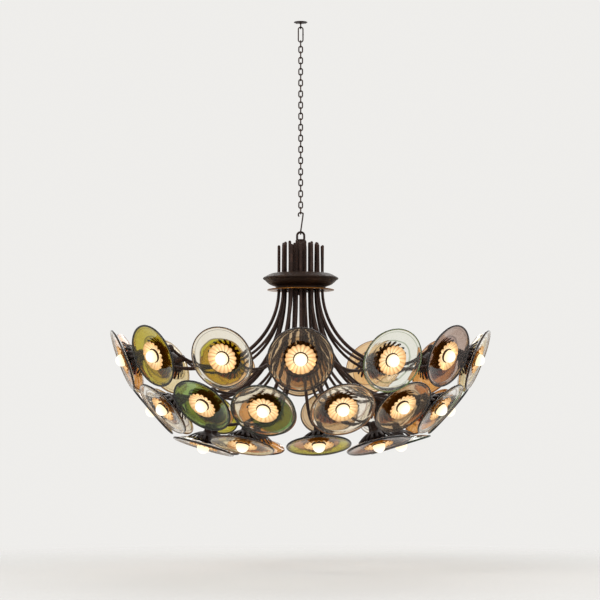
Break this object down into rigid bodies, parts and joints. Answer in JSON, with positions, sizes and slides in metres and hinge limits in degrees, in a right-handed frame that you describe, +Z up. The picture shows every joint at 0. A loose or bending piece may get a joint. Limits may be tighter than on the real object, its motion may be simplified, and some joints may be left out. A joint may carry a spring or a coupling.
{
  "type": "glass chandelier",
  "caption": "Hanging iron chandelier on a chain: three tiers of bent arms, each with a lamp behind a round coloured glass pane.",
  "frame": {"origin": "centre of the ceiling hook's flange, on the ceiling", "axes": "+Z up, -Y is the front that the picture shows, +X to the right of it"},
  "size_m": [0.9951, 1.0082, 1.1561],
  "materials": {
    "dark_iron": "wrought iron with a dark brown wax patina, satin",
    "forged_chain": "bent and welded iron wire, dark brown, worn slightly bright at the contacts",
    "blackened_steel": "blackened, satin",
    "aged_brass": "thin spun disc, brown aged, soft shine",
    "smoke_glass": "hand-made blown glass, smoky brown, glossy, streaked",
    "clear_glass": "hand-made blown glass, almost clear, faint straw, glossy, streaked",
    "grey_glass": "hand-made blown glass, smoky grey purple, glossy, streaked",
    "straw_glass": "hand-made blown glass, pale straw, glossy, streaked",
    "amber_glass": "hand-made blown glass, amber orange, glossy, streaked",
    "olive_glass": "hand-made blown glass, yellow green, glossy, streaked",
    "moss_glass": "hand-made blown glass, moss green, glossy, streaked"
  },
  "bodies": {
    "ceiling": {"ceiling_hook": "forged_chain"},
    "long_link": {"long_link": "forged_chain"},
    "chain_run_1": {"chain_run_1": "forged_chain"},
    "chain_run_2": {"chain_run_2": "forged_chain"},
    "chain_run_3": {"chain_run_3": "forged_chain"},
    "s_hook": {"s_hook": "forged_chain"},
    "loop": {"top_loop": "forged_chain"},
    "fixture": {"centre_post": "blackened_steel", "lock_nut": "blackened_steel", "collar_plate": "aged_brass", "collar_dish": "dark_iron", "upper_arm_tier": "dark_iron", "middle_arm_tier": "dark_iron", "lower_arm_01": "dark_iron", "lower_arm_02": "dark_iron", "lower_arm_03": "dark_iron", "lower_arm_04": "dark_iron", "lower_arm_05": "dark_iron", "lower_arm_06": "dark_iron", "lower_arm_07": "dark_iron", "lower_arm_08": "dark_iron", "lower_arm_09": "dark_iron", "upper_pane_01": "smoke_glass", "upper_pane_02": "clear_glass", "upper_pane_03": "grey_glass", "upper_pane_04": "clear_glass", "upper_pane_05": "straw_glass", "upper_pane_06": "amber_glass", "upper_pane_07": "amber_glass", "upper_pane_08": "smoke_glass", "upper_pane_09": "amber_glass", "upper_pane_10": "straw_glass", "upper_pane_11": "amber_glass", "upper_pane_12": "clear_glass", "upper_pane_13": "olive_glass", "upper_pane_14": "clear_glass", "middle_pane_01": "straw_glass", "middle_pane_02": "smoke_glass", "middle_pane_03": "clear_glass", "middle_pane_04": "moss_glass", "middle_pane_05": "amber_glass", "middle_pane_06": "clear_glass", "middle_pane_07": "smoke_glass", "middle_pane_08": "amber_glass", "middle_pane_09": "olive_glass", "middle_pane_10": "clear_glass", "middle_pane_11": "smoke_glass", "middle_pane_12": "clear_glass", "middle_pane_13": "moss_glass", "middle_pane_14": "clear_glass", "lower_pane_01": "olive_glass", "lower_pane_02": "grey_glass", "lower_pane_03": "clear_glass", "lower_pane_04": "amber_glass", "lower_pane_05": "clear_glass", "lower_pane_06": "amber_glass", "lower_pane_07": "smoke_glass", "lower_pane_08": "clear_glass", "lower_pane_09": "straw_glass"}
  },
  "joints": [
    {"name": "hook_swing", "type": "hinge", "parent": "ceiling", "child": "long_link", "pos_m": [0, 0, -0.0176], "axis": [0, 1, 0], "range_deg": [-25, 25]},
    {"name": "long_link_swing", "type": "hinge", "parent": "long_link", "child": "chain_run_1", "pos_m": [0, 0, -0.0539], "axis": [1, 0, 0], "range_deg": [-25, 25]},
    {"name": "chain_swing_1", "type": "hinge", "parent": "chain_run_1", "child": "chain_run_2", "pos_m": [0, 0, -0.29164], "axis": [1, 0, 0], "range_deg": [-15, 15]},
    {"name": "chain_swing_2", "type": "hinge", "parent": "chain_run_2", "child": "chain_run_3", "pos_m": [0, 0, -0.4065], "axis": [0, 1, 0], "range_deg": [-15, 15]},
    {"name": "s_hook_swing", "type": "hinge", "parent": "chain_run_3", "child": "s_hook", "pos_m": [0, 0, -0.50975], "axis": [1, 0, 0], "range_deg": [-15, 15]},
    {"name": "loop_swing", "type": "hinge", "parent": "s_hook", "child": "loop", "pos_m": [0, 0, -0.56745], "axis": [0, 1, 0], "range_deg": [-15, 15]},
    {"name": "fixture_turn", "type": "hinge", "parent": "loop", "child": "fixture", "pos_m": [0, 0, -0.58745], "axis": [0, 0, 1], "range_deg": [-180, 180]}
  ]
}
